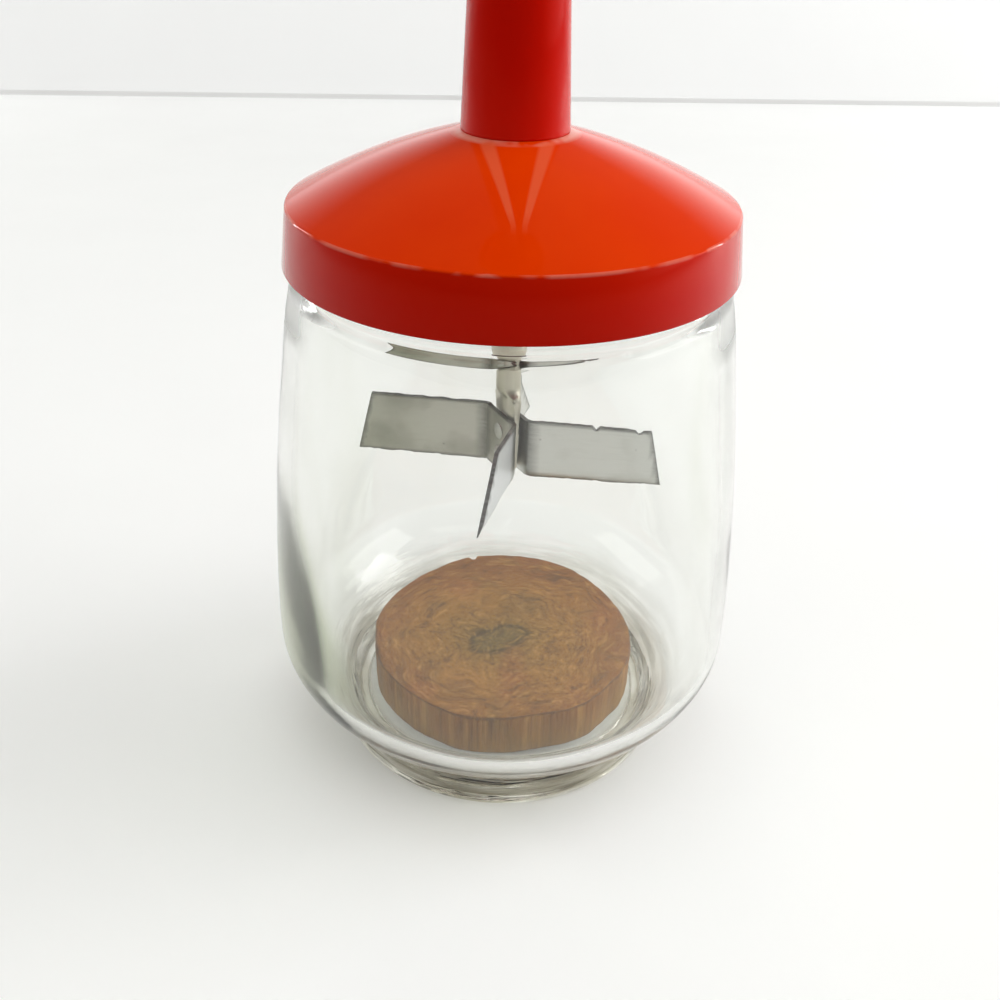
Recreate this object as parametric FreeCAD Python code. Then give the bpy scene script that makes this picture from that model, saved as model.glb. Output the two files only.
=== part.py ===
import FreeCAD, Part
import math
import os

# A plunger food chopper. A palm knob on a steel rod drives four blades down onto a
# wooden disc inside a glass jar, and a spring in the lid's guide tower lifts them again.
#
# Lengths are millimetres and angles are degrees. The origin is the centre of the ring
# that the jar stands on, and +Z runs up along the plunger. Turned pieces are drawn as a
# radius and a height, and each height is counted up from the table.

# ---- Clearances and fits
running_fit = 0.05          # radial gap of the rod in its sleeve and bush
loose_fit = 0.3             # radial gap round pieces that only lie in place
seat_gap = 0.05             # gap between flat faces that rest on each other

# ---- Glass jar
glass_wall = 2.8
belly_radius = 50.0         # the widest place of the jar
belly_height = 27.0
side_radius = 48.5          # the side, part of the way up
side_height = 55.0
shoulder_radius = 45.1      # where the side starts to draw in
shoulder_height = 85.0
neck_step = 2.7             # the shoulder ends this far outside the mouth
neck_drop = 3.4             # and this far below it
neck_lean = 0.25            # the side's inward slope at that place
finish_radius = 39.4        # the straight mouth that the lid covers
finish_height = 9.0         # its length below the rim
jar_height = 116.0
bead_gap = 0.45             # the mouth's bead stands this far inside the lid's skirt
bead_drop = 5.0             # the bead's middle below the rim
bead_height = 2.0
rim_rounding = 1.0
heel_slope_radius = 43.4    # a point on the sloping heel between foot and belly
heel_slope_height = 14.2
waist_inset = 0.9           # how far the groove above the foot draws in
waist_height = 7.5
foot_radius = 37.4
foot_width = 4.6            # the flat ring that touches the table
foot_rounding = 1.2
floor_height = 7.6          # inside floor above the table
floor_thickness = 4.0
floor_margin = 1.0          # floor left showing round the chopping disc

# ---- Chopping disc
disc_radius = 30.2
disc_thickness = 11.4
disc_edge = 0.8             # worn edge of the disc

# ---- Lid
lid_wall = 1.8
lid_gap = 0.4               # gap round the mouth at the top of the skirt
skirt_height = 10.9
skirt_taper = 1.4           # the skirt is this much wider at its lower edge
lid_edge_rounding = 0.5
dome_rise = 12.4            # from the lid's edge up to the crown that carries the tower
dome_bulge = 1.1            # how far the dome stands above a straight cone
crown_thickness = 3.4
boss_margin = 1.2           # flat under the crown, beyond the nut
seal_thickness = 1.35
seal_width = 3.2
seal_ledge_height = 2.2     # inner ledge that keeps the seal in place

# ---- Guide tower, its nut and its bush
tower_height = 58.4
tower_foot_radius = 9.9
tower_step = 0.25           # the crown's land shows this far round the tower's foot
tower_wall = 1.6            # wall at the top
tower_rounding = 0.5
chamber_radius = 5.4        # bore that holds the spring
spigot_wall = 1.6
spigot_floor = 2.0          # floor under the spring
spigot_show = 0.5           # spigot left below the nut
nut_height = 5.5
nut_rim = 4.0               # thickness of the nut beyond the spigot
nut_flat_cut = 0.8          # how far the nut's flats cut into its round
nut_washer_thickness = 1.2
bush_depth = 7.0
bush_flange_height = 1.5
bush_flange_inset = 0.4     # the bush's flange inside the tower's edge

# ---- Rod guide below the lid
sleeve_wall = 0.65
sleeve_length = 36.0
sleeve_flange_gap = 0.6     # gap between the sleeve's flange and the chamber's wall
sleeve_flange_height = 0.8

# ---- Spring and its washers
spring_wire_radius = 0.4
spring_turns = 11
washer_thickness = 0.8
circlip_thickness = 0.8
circlip_width = 1.3
circlip_depth = 0.4         # how deep the circlip sits in the rod
circlip_gap = 0.4           # rest gap below the bush
circlip_opening = 2.2

# ---- Plunger rod
rod_radius = 2.5
collar_height = 2.0
collar_width = 1.0
rod_show = 5.6              # round rod between the collar and the flattened end
spade_width = 7.6           # flattened end of the rod
spade_thickness = 2.4
spade_show = 4.5            # flattened end above the blades
spade_corner = 1.2
spade_end_gap = 0.6         # the flattened end stops this far above the blades' edges

# ---- Blades: two equal bent strips, back to back on the flattened end
blade_height = 13.0
blade_thickness = 0.8
blade_bevel = 2.0           # height of the ground cutting edge
blade_edge = 0.25           # steel left at the cutting edge
blade_bend = 1.2            # middle radius of the two bends
flat_heading = -59.0        # direction of the strip's middle, seen from above
flat_length = 10.8          # between the two corners of the bent strip
long_arm_heading = 173.3
long_arm_length = 28.2
long_arm_slant = 3.1        # its upper corner is this much shorter
short_arm_heading = 254.4
short_arm_length = 23.0
short_arm_slant = 11.0      # its upper corner is cut away to leave a point
chop_gap = 0.3              # blade edges above the disc at the end of the stroke

# ---- Rivets through the blades
rivet_radius = 1.1
rivet_head_radius = 1.65
rivet_head_height = 0.5
rivet_spacing = 5.0

# ---- Palm knob
knob_radius = 20.0
knob_stem_radius = 10.2
knob_stem_height = 7.0
knob_flare_height = 9.5     # from the stem up to the widest edge
knob_edge_rounding = 3.0    # round of the widest edge, below
knob_dome_height = 11.0
knob_overlap = 8.0          # how far the pressed knob covers the tower
knob_end_gap = 1.0          # gap left over the bush when the knob is pressed
knob_lip_rounding = 0.8
insert_width = 1.8
insert_length = 10.0
insert_cover = 0.5          # plastic under the insert
rod_end_gap = 1.0           # rod stops this far below the insert's top

# ---- Heights that follow from the sizes above
disc_bottom_z = floor_height + seat_gap
disc_top_z = disc_bottom_z + disc_thickness
seal_bottom_z = jar_height + seat_gap
lid_land_z = seal_bottom_z + seal_thickness
lid_edge_z = lid_land_z + lid_wall
skirt_bottom_z = lid_edge_z - skirt_height
crown_z = lid_edge_z + dome_rise
boss_z = crown_z - crown_thickness
nut_top_z = boss_z - nut_washer_thickness
nut_bottom_z = nut_top_z - nut_height
spigot_bottom_z = nut_bottom_z - spigot_show
chamber_floor_z = spigot_bottom_z + spigot_floor
sleeve_top_z = chamber_floor_z + sleeve_flange_height
sleeve_end_z = sleeve_top_z - sleeve_length
lower_washer_top_z = sleeve_top_z + washer_thickness
tower_top_z = crown_z + tower_height
bush_bottom_z = tower_top_z - bush_depth
bush_top_z = tower_top_z + bush_flange_height
circlip_top_z = bush_bottom_z - circlip_gap
circlip_bottom_z = circlip_top_z - circlip_thickness
upper_washer_top_z = circlip_bottom_z - seat_gap
upper_washer_bottom_z = upper_washer_top_z - washer_thickness
spring_bottom_z = lower_washer_top_z
spring_top_z = upper_washer_bottom_z - seat_gap
collar_top_z = sleeve_end_z - seat_gap
collar_bottom_z = collar_top_z - collar_height
spade_top_z = collar_bottom_z - rod_show
blade_top_z = spade_top_z - spade_show
blade_bottom_z = blade_top_z - blade_height
stroke = blade_bottom_z - disc_top_z - chop_gap
knob_bottom_z = tower_top_z + stroke - knob_overlap
knob_recess_z = bush_top_z + stroke + knob_end_gap
insert_bottom_z = knob_recess_z + insert_cover
insert_top_z = insert_bottom_z + insert_length
rod_top_z = insert_top_z - rod_end_gap
knob_edge_z = knob_bottom_z + knob_stem_height + knob_flare_height
knob_top_z = knob_edge_z + knob_edge_rounding + knob_dome_height

# ---- Radii that follow from the sizes above
skirt_top_radius = finish_radius + lid_gap + lid_wall
skirt_bottom_radius = skirt_top_radius + skirt_taper
waist_radius = foot_radius - waist_inset
floor_radius = disc_radius + floor_margin
spigot_radius = chamber_radius + spigot_wall
nut_radius = spigot_radius + nut_rim
boss_radius = nut_radius + boss_margin
tower_top_radius = chamber_radius + tower_wall
sleeve_bore = rod_radius + running_fit
sleeve_radius = sleeve_bore + sleeve_wall
collar_radius = rod_radius + collar_width
washer_radius = chamber_radius - loose_fit
washer_bore = rod_radius + loose_fit
spring_radius = washer_radius - spring_wire_radius
knob_taper = (tower_foot_radius - tower_top_radius) * knob_overlap / tower_height
knob_recess_radius = tower_top_radius + knob_taper + 2 * loose_fit
insert_radius = rod_radius + insert_width
flat_offset = (spade_thickness + blade_thickness) / 2

full_turn = 360
centre = FreeCAD.Vector(0, 0, 0)
up = FreeCAD.Vector(0, 0, 1)


# ---- Drawing helpers
def point(radius, height):
    return FreeCAD.Vector(radius, 0, height)


def line(start, end):
    return Part.LineSegment(point(*start), point(*end)).toShape()


def arc(start, middle, end):
    return Part.Arc(point(*start), point(*middle), point(*end)).toShape()


def curve(places, start_way, end_way):
    """A smooth curve through radius and height pairs, with its end directions."""
    spline = Part.BSplineCurve()
    spline.interpolate(
        Points=[point(*place) for place in places],
        InitialTangent=point(*start_way),
        FinalTangent=point(*end_way),
    )
    return spline.toShape()


def path(corners):
    """Straight lines from each corner to the next."""
    return [line(a, b) for a, b in zip(corners[:-1], corners[1:])]


def turned(edges):
    """The solid that a closed profile sweeps round the Z axis."""
    return Part.Face(Part.Wire(edges)).revolve(centre, up, full_turn)


def tube(outer, inner, bottom, top):
    corners = [(inner, bottom), (outer, bottom), (outer, top), (inner, top)]
    return turned(path(corners + corners[:1]))


def cylinder(radius, bottom, top):
    return Part.makeCylinder(radius, top - bottom, FreeCAD.Vector(0, 0, bottom))


def rounded(solid, size, radius, height):
    """Round the circular edges that lie at one radius and one height."""
    near = 0.01
    found = []
    for edge in solid.Edges:
        if edge.Degenerated or not hasattr(edge.Curve, "Radius"):
            continue
        circle = edge.Curve
        same_size = abs(circle.Radius - radius) < near
        if same_size and abs(circle.Center.z - height) < near:
            found.append(edge)
    return solid.makeFillet(size, found)


def heading(angle):
    """A level unit vector, counted from +X towards +Y."""
    turn = math.radians(angle)
    return FreeCAD.Vector(math.cos(turn), math.sin(turn), 0)


def skirt_radius(height):
    """Outer radius of the lid's tapered skirt at a height."""
    return skirt_bottom_radius - skirt_taper * (height - skirt_bottom_z) / skirt_height


# ---- Jar and disc
def jar_side(inset):
    """The jar's side from the belly up to the mouth, drawn in by an inset."""
    mouth_z = jar_height - finish_height
    neck = (finish_radius + neck_step - inset, mouth_z - neck_drop)
    leaning = (-neck_lean, 1)
    side = [
        (belly_radius - inset, belly_height),
        (side_radius - inset, side_height),
        (shoulder_radius - inset, shoulder_height),
        neck,
    ]
    turn_in = [neck, (finish_radius - inset, mouth_z)]
    return [curve(side, (0, 1), leaning), curve(turn_in, leaning, (0, 1))]


def jar_heel(inset, low_radius, low_height, low_way):
    """The jar's sloping heel, from its low end up to the belly."""
    slope_shift = inset / math.sqrt(2)
    places = [
        (low_radius, low_height),
        (heel_slope_radius - slope_shift, heel_slope_height + slope_shift),
        (belly_radius - inset, belly_height),
    ]
    return curve(places, low_way, (0, 1))


def make_jar():
    foot_inner = foot_radius - foot_width
    underside_z = floor_height - floor_thickness
    mouth_radius = finish_radius - glass_wall
    mouth_z = jar_height - finish_height
    bead_z = jar_height - bead_drop
    bead_low = (finish_radius, bead_z - bead_height / 2)
    bead_high = (finish_radius, bead_z + bead_height / 2)
    bead_radius = skirt_radius(bead_z) - lid_wall - bead_gap
    outside = path([
        (0, underside_z),
        (foot_inner, underside_z),
        (foot_inner, 0),
        (foot_radius, 0),
        (foot_radius, waist_height / 2),
        (waist_radius, waist_height),
    ])
    outside.append(jar_heel(0, waist_radius, waist_height, (1, 1)))
    outside += jar_side(0)
    outside += path([(finish_radius, mouth_z), bead_low])
    outside.append(arc(bead_low, (bead_radius, bead_z), bead_high))
    outside += path([
        bead_high,
        (finish_radius, jar_height),
        (mouth_radius, jar_height),
        (mouth_radius, mouth_z),
    ])
    turn_in_and_side = reversed(jar_side(glass_wall))
    inside = [
        *turn_in_and_side,
        jar_heel(glass_wall, floor_radius, floor_height, (1, 0.4)),
        line((floor_radius, floor_height), (0, floor_height)),
        line((0, floor_height), (0, underside_z)),
    ]
    jar = turned(outside + inside)
    jar = rounded(jar, rim_rounding, finish_radius, jar_height)
    jar = rounded(jar, rim_rounding, mouth_radius, jar_height)
    jar = rounded(jar, foot_rounding, foot_radius, 0)
    return rounded(jar, foot_rounding, foot_inner, 0)


def make_chopping_disc():
    disc = cylinder(disc_radius, disc_bottom_z, disc_top_z)
    disc = rounded(disc, disc_edge, disc_radius, disc_top_z)
    return rounded(disc, disc_edge, disc_radius, disc_bottom_z)


# ---- Lid, seal and guide tower
def dome_arc(start, end):
    """An arc between two places that bulges above the straight line."""
    middle = ((start[0] + end[0]) / 2, (start[1] + end[1]) / 2 + dome_bulge)
    return arc(start, middle, end)


def make_lid():
    land_radius = tower_foot_radius + tower_step
    ledge_radius = skirt_radius(lid_land_z) - lid_wall - loose_fit - seal_width
    ledge_top_z = lid_land_z + seal_ledge_height
    hole_radius = spigot_radius + running_fit
    edge = (skirt_top_radius, lid_edge_z)
    land = (land_radius, crown_z)
    profile = [
        line((skirt_bottom_radius, skirt_bottom_z), edge),
        dome_arc(edge, land),
    ]
    profile += path([
        land,
        (hole_radius, crown_z),
        (hole_radius, boss_z),
        (boss_radius, boss_z),
    ])
    profile.append(dome_arc((boss_radius, boss_z), (ledge_radius, ledge_top_z)))
    profile += path([
        (ledge_radius, ledge_top_z),
        (ledge_radius, lid_land_z),
        (skirt_radius(lid_land_z) - lid_wall, lid_land_z),
        (skirt_bottom_radius - lid_wall, skirt_bottom_z),
        (skirt_bottom_radius, skirt_bottom_z),
    ])
    return rounded(turned(profile), lid_edge_rounding, *edge)


def make_lid_seal():
    outer = skirt_radius(lid_land_z) - lid_wall - loose_fit
    return tube(outer, outer - seal_width, seal_bottom_z, lid_land_z)


def make_guide_tower():
    hole_radius = sleeve_radius + running_fit
    corners = [
        (hole_radius, spigot_bottom_z),
        (spigot_radius, spigot_bottom_z),
        (spigot_radius, crown_z),
        (tower_foot_radius, crown_z),
        (tower_top_radius, tower_top_z),
        (chamber_radius, tower_top_z),
        (chamber_radius, chamber_floor_z),
        (hole_radius, chamber_floor_z),
    ]
    tower = turned(path(corners + corners[:1]))
    return rounded(tower, tower_rounding, tower_top_radius, tower_top_z)


def make_nut_washer():
    return tube(nut_radius, spigot_radius + running_fit, nut_top_z, boss_z)


def make_tower_nut():
    """A round nut with six flats for the fingers or a spanner."""
    blank = tube(nut_radius, spigot_radius + running_fit, nut_bottom_z, nut_top_z)
    corner_radius = (nut_radius - nut_flat_cut) / math.cos(math.pi / 6)
    corners = [heading(60 * side) * corner_radius for side in range(7)]
    outline = Part.makePolygon([c + up * nut_bottom_z for c in corners])
    hexagon = Part.Face(outline).extrude(up * nut_height)
    return blank.common(hexagon)


def make_upper_bush():
    flange_radius = tower_top_radius - bush_flange_inset
    corners = [
        (sleeve_bore, bush_bottom_z),
        (chamber_radius, bush_bottom_z),
        (chamber_radius, tower_top_z),
        (flange_radius, tower_top_z),
        (flange_radius, bush_top_z),
        (sleeve_bore, bush_top_z),
    ]
    bush = turned(path(corners + corners[:1]))
    return rounded(bush, bush_flange_inset, flange_radius, bush_top_z)


def make_guide_sleeve():
    """The steel tube that steadies the rod, hung by its flange on the spigot's floor."""
    flange_radius = chamber_radius - sleeve_flange_gap
    corners = [
        (sleeve_bore, sleeve_end_z),
        (sleeve_radius, sleeve_end_z),
        (sleeve_radius, chamber_floor_z),
        (flange_radius, chamber_floor_z),
        (flange_radius, sleeve_top_z),
        (sleeve_bore, sleeve_top_z),
    ]
    return turned(path(corners + corners[:1]))


# ---- Spring, washers and circlip
def make_lower_spring_washer():
    return tube(washer_radius, washer_bore, sleeve_top_z, lower_washer_top_z)


def make_upper_spring_washer():
    return tube(washer_radius, washer_bore, upper_washer_bottom_z, upper_washer_top_z)


def make_return_spring():
    """An open-coiled spring whose wire just clears the washer at each end."""
    climb = spring_top_z - spring_bottom_z - 2 * spring_wire_radius
    helix = Part.makeHelix(climb / spring_turns, climb, spring_radius)
    start = point(spring_radius, 0)
    circle = Part.makeCircle(spring_wire_radius, start, FreeCAD.Vector(0, 1, 0))
    frenet = True
    solid = True
    wire = Part.Wire(helix).makePipeShell([Part.Wire(circle)], solid, frenet)
    wire.translate(up * (spring_bottom_z + spring_wire_radius))
    return wire


def make_rod_circlip():
    inner = rod_radius - circlip_depth
    outer = rod_radius + circlip_width
    ring = tube(outer, inner, circlip_bottom_z, circlip_top_z)
    corner = FreeCAD.Vector(0, -circlip_opening / 2, circlip_bottom_z)
    opening = Part.makeBox(outer, circlip_opening, circlip_thickness, corner)
    return ring.cut(opening)


# ---- Rod, collar and blades
def in_flat(along, across, height):
    """A place near the flattened end: along it, out from its middle, and up."""
    out = heading(flat_heading - 90)
    return heading(flat_heading) * along + out * across + up * height


def make_spade():
    """The rod's flattened end, a plate whose lower corners are cut off."""
    bottom = blade_bottom_z + spade_end_gap
    half = spade_width / 2
    outline = [
        (-half, bottom + spade_corner),
        (-half + spade_corner, bottom),
        (half - spade_corner, bottom),
        (half, bottom + spade_corner),
        (half, spade_top_z - spade_corner),
        (half - spade_corner, spade_top_z),
        (-half + spade_corner, spade_top_z),
        (-half, spade_top_z - spade_corner),
    ]
    face_side = -spade_thickness / 2
    corners = [in_flat(along, face_side, height) for along, height in outline]
    face = Part.Face(Part.makePolygon(corners + corners[:1]))
    return face.extrude(in_flat(0, spade_thickness, 0))


def rivet_heights():
    middle = (blade_bottom_z + blade_top_z) / 2
    return [middle - rivet_spacing / 2, middle + rivet_spacing / 2]


def across_pin(radius, reach, height):
    """A pin through the blades and the flattened end, reaching as far each side."""
    start = in_flat(0, -reach, height)
    return Part.makeCylinder(radius, 2 * reach, start, in_flat(0, 1, 0))


def make_plunger_rod():
    rod = cylinder(rod_radius, spade_top_z - spade_corner, rod_top_z)
    groove = tube(
        2 * rod_radius,
        rod_radius - circlip_depth,
        circlip_bottom_z - running_fit,
        circlip_top_z + running_fit,
    )
    rod = rod.cut(groove).fuse(make_spade())
    for height in rivet_heights():
        rod = rod.cut(across_pin(rivet_radius + running_fit, spade_thickness, height))
    return rod.removeSplitter()


def make_stop_collar():
    return tube(collar_radius, rod_radius, collar_bottom_z, collar_top_z)


def bend(corner, way_in, way_out):
    """The two ends and the middle of a bend of blade_bend radius at a corner."""
    half_turn = way_in.getAngle(way_out) / 2
    reach = blade_bend * math.tan(half_turn)
    start = corner - way_in * reach
    end = corner + way_out * reach
    inward = (way_out - way_in).normalize()
    depth = blade_bend / math.cos(half_turn) - blade_bend
    return start, corner + inward * depth, end


def blade_corners():
    """Where the strip's middle meets its long arm and its short arm."""
    back = in_flat(-flat_length / 2, flat_offset, blade_bottom_z)
    front = in_flat(flat_length / 2, flat_offset, blade_bottom_z)
    return back, front


def blade_path(back, front, long_way, short_way):
    """The strip's middle line, seen from above, along its lower edge."""
    along = heading(flat_heading)
    back_bend = bend(back, long_way * -1, along)
    front_bend = bend(front, along, short_way)
    long_tip = back + long_way * long_arm_length
    short_tip = front + short_way * short_arm_length
    return Part.Wire([
        Part.LineSegment(long_tip, back_bend[0]).toShape(),
        Part.Arc(*back_bend).toShape(),
        Part.LineSegment(back_bend[2], front_bend[0]).toShape(),
        Part.Arc(*front_bend).toShape(),
        Part.LineSegment(front_bend[2], short_tip).toShape(),
    ])


def blade_section(tip, out):
    """The strip's section at its tip: upright, with one side ground to an edge."""
    outer = blade_thickness / 2
    corners = [
        (-outer, 0),
        (-outer + blade_edge, 0),
        (outer, blade_bevel),
        (outer, blade_height),
        (-outer, blade_height),
    ]
    places = [tip + out * across + up * height for across, height in corners]
    return Part.makePolygon(places + places[:1])


def end_cut(corner, way, length, slant):
    """The wedge that trims an arm: full length below, shorter at its upper edge."""
    beyond = length + slant
    side = way.cross(up) * (2 * blade_height)
    outline = [(length, 0), (beyond, 0), (beyond, blade_height), (length - slant, blade_height)]
    corners = [corner + way * along + up * height - side / 2 for along, height in outline]
    return Part.Face(Part.makePolygon(corners + corners[:1])).extrude(side)


def make_blade():
    long_way = heading(long_arm_heading)
    short_way = heading(short_arm_heading)
    back, front = blade_corners()
    long_tip = back + long_way * long_arm_length
    section = blade_section(long_tip, long_way.cross(up))
    solid = True
    frenet = False
    middle = blade_path(back, front, long_way, short_way)
    strip = middle.makePipeShell([section], solid, frenet)
    strip = strip.cut(end_cut(back, long_way, long_arm_length, long_arm_slant))
    strip = strip.cut(end_cut(front, short_way, short_arm_length, short_arm_slant))
    for height in rivet_heights():
        reach = flat_offset + blade_thickness
        strip = strip.cut(across_pin(rivet_radius + running_fit, reach, height))
    return strip


def make_left_blade():
    return make_blade()


def make_right_blade():
    """The same bent strip, turned half round to lie on the other side of the rod."""
    blade = make_blade()
    blade.rotate(centre, up, full_turn / 2)
    return blade


def make_blade_rivets():
    stack = spade_thickness / 2 + blade_thickness
    rivets = []
    for height in rivet_heights():
        rivet = across_pin(rivet_radius, stack + rivet_head_height, height)
        for side in (-1, 1):
            way = in_flat(0, side, 0)
            seat = in_flat(0, side * stack, height)
            head = Part.makeCylinder(rivet_head_radius, rivet_head_height, seat, way)
            rivet = rivet.fuse(head)
        rivets.append(rivet.removeSplitter())
    return Part.makeCompound(rivets)


# ---- Palm knob
def make_plunger_knob():
    """A mushroom knob. Its stem is hollow below, so that it can drop over the tower."""
    stem_top = (knob_stem_radius, knob_bottom_z + knob_stem_height)
    under_edge = (knob_radius - knob_edge_rounding, knob_edge_z)
    widest = (knob_radius, knob_edge_z + knob_edge_rounding)
    corner = knob_edge_rounding * (1 - math.sqrt(0.5))
    profile = [
        line((knob_stem_radius, knob_bottom_z), stem_top),
        curve([stem_top, under_edge], (0, 1), (1, 0)),
        arc(under_edge, (knob_radius - corner, knob_edge_z + corner), widest),
        curve([widest, (0, knob_top_z)], (0, 1), (-1, 0)),
    ]
    profile += path([
        (0, knob_top_z),
        (0, insert_top_z),
        (insert_radius, insert_top_z),
        (insert_radius, insert_bottom_z),
        (rod_radius + running_fit, insert_bottom_z),
        (rod_radius + running_fit, knob_recess_z),
        (knob_recess_radius, knob_recess_z),
        (knob_recess_radius, knob_bottom_z),
        (knob_stem_radius, knob_bottom_z),
    ])
    return rounded(turned(profile), knob_lip_rounding, knob_stem_radius, knob_bottom_z)


def make_knob_insert():
    """The threaded brass insert that the rod's end is screwed into."""
    return tube(insert_radius, rod_radius, insert_bottom_z, insert_top_z)


def main():
    pieces = {
        "jar": make_jar(),
        "chopping_disc": make_chopping_disc(),
        "lid": make_lid(),
        "lid_seal": make_lid_seal(),
        "guide_tower": make_guide_tower(),
        "nut_washer": make_nut_washer(),
        "tower_nut": make_tower_nut(),
        "upper_bush": make_upper_bush(),
        "guide_sleeve": make_guide_sleeve(),
        "lower_spring_washer": make_lower_spring_washer(),
        "return_spring": make_return_spring(),
        "upper_spring_washer": make_upper_spring_washer(),
        "rod_circlip": make_rod_circlip(),
        "plunger_rod": make_plunger_rod(),
        "stop_collar": make_stop_collar(),
        "left_blade": make_left_blade(),
        "right_blade": make_right_blade(),
        "blade_rivets": make_blade_rivets(),
        "plunger_knob": make_plunger_knob(),
        "knob_insert": make_knob_insert(),
    }
    os.makedirs("parts", exist_ok=True)
    for name, shape in pieces.items():
        shape.exportStep("parts/" + name + ".step")
        box = shape.BoundBox
        facts = (name, shape.isValid(), len(shape.Solids), round(shape.Volume, 1))
        print(*facts, round(box.ZMin, 2), round(box.ZMax, 2))
    print("stroke", round(stroke, 2), "height", round(knob_top_z, 2))


main()
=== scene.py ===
# %% [markdown]
# # A plunger food chopper
# A palm knob on a sprung rod drives four blades down onto a wooden disc inside a glass
# jar. The engineering model is loaded first and stays fixed: it says where each piece is
# and how it moves. This lesson then builds a finer piece over each plain one, gives every
# piece its material, and sets up the floor, the lights and the camera.

# %% Load the fixed frame
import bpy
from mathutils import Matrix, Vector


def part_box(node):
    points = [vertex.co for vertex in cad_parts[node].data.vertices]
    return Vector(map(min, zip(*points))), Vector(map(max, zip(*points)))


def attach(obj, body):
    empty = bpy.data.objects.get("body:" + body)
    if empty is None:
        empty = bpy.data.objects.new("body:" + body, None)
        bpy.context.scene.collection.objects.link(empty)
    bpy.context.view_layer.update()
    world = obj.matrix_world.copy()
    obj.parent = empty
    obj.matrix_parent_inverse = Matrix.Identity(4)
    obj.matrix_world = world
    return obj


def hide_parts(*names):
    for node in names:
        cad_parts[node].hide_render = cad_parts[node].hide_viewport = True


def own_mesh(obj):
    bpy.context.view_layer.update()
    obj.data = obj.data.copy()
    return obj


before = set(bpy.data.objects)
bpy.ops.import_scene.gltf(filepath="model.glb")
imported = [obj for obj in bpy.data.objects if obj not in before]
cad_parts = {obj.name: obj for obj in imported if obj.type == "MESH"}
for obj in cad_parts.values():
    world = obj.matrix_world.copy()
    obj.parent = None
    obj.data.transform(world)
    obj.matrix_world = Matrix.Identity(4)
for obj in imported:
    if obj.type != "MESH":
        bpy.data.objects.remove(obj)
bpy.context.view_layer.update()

# %% Tools and units
import math

import bmesh
import bpy
from mathutils import Color, Matrix, Vector, noise
from mathutils.geometry import interpolate_bezier

MM = 0.001
SHARP_EDGE = math.radians(32)
print("lengths below are millimetres, and one millimetre is", MM, "metres")

# %% [markdown]
# ## Helpers for turned pieces
# Most of this object is round: it was pressed, moulded or turned on a lathe. Such a piece
# is drawn as half of its section, a line of places that are each a radius and a height,
# and the line is then spun round the Z axis. A third number at a place is its rounding,
# which a vertex bevel makes while the section is still a bare line. A cylinder whose loops
# are pushed about would also do, but a section is easier to check against a drawing.

# %% Smooth runs
def heading(angle):
    """A direction in the section, counted from outwards towards up."""
    turn = math.radians(angle)
    return Vector((math.cos(turn), 0, math.sin(turn)))


def glide(knots, pieces=12):
    """Places along a smooth run through knots, each a radius, a height and a heading."""
    run = []
    for (r0, z0, way0), (r1, z1, way1) in zip(knots[:-1], knots[1:]):
        start, end = Vector((r0, 0, z0)), Vector((r1, 0, z1))
        reach = (end - start).length / 3
        first, last = start + heading(way0) * reach, end - heading(way1) * reach
        run += interpolate_bezier(start, first, last, end, pieces + 1)[:-1]
    run.append(end)
    return [(place.x, place.z) for place in run]


print("a run of three places:", [tuple(round(n, 1) for n in p)
                                for p in glide([(2, 0, 90), (0, 2, 180)], 2)])


# %% Sections and spins
BEVEL_STEPS = 4


def draw_section(bm, places, closed):
    """A line of edges in the XZ plane, with the marked corners rounded."""
    verts = [bm.verts.new((p[0] * MM, 0, p[1] * MM)) for p in places]
    ends = verts[1:] + verts[:1] if closed else verts[1:]
    for a, b in zip(verts, ends):
        bm.edges.new((a, b))
    for vert, place in zip(verts, places):
        if len(place) == 3:
            bmesh.ops.bevel(
                bm, geom=[vert], offset=place[2] * MM, offset_type="OFFSET",
                affect="VERTICES", segments=BEVEL_STEPS, profile=0.5, material=-1,
            )


def spin_section(bm, steps):
    """Sweep all the edges round the Z axis and close what meets there."""
    bmesh.ops.spin(
        bm, geom=bm.verts[:] + bm.edges[:], cent=(0, 0, 0), axis=(0, 0, 1),
        angle=math.tau, steps=steps, use_merge=True,
    )
    bmesh.ops.remove_doubles(bm, verts=bm.verts, dist=0.0005 * MM)
    bmesh.ops.recalc_face_normals(bm, faces=bm.faces)


def turned(places, closed=False, steps=144):
    """A bmesh of one turned piece. An open section starts and ends on the axis."""
    bm = bmesh.new()
    draw_section(bm, places, closed)
    spin_section(bm, steps)
    return bm


def plain_ring(inner, outer, low, high, inner_round, outer_round, steps):
    """A bmesh of a ring with a square section whose corners are rounded."""
    return turned([(inner, low, inner_round), (outer, low, outer_round),
                   (outer, high, outer_round), (inner, high, inner_round)],
                  closed=True, steps=steps)


def verts_in(items):
    return [item for item in items if isinstance(item, bmesh.types.BMVert)]


def turn_all(bm, angle, axis):
    bmesh.ops.rotate(bm, verts=bm.verts, cent=(0, 0, 0),
                     matrix=Matrix.Rotation(angle, 3, axis))


def outward(vert):
    """How a vertex lies from the Z axis, without its height."""
    return Vector((vert.co.x, vert.co.y, 0))


print("each rounded corner of a section gets", BEVEL_STEPS, "short edges")

# %% [markdown]
# Each finished bmesh becomes an object at the origin, with its place in its mesh. Faces
# are shaded smooth, and edges that turn sharply are marked to stay crisp. The piece is
# put under the body it moves with and takes its finish, and the plain piece it stands for
# is hidden.

# %% Turn a bmesh into a piece
finishes = {}


def as_object(name, bm):
    mesh = bpy.data.meshes.new(name)
    bm.to_mesh(mesh)
    bm.free()
    made = bpy.data.objects.new(name, mesh)
    bpy.context.scene.collection.objects.link(made)
    return made


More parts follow.
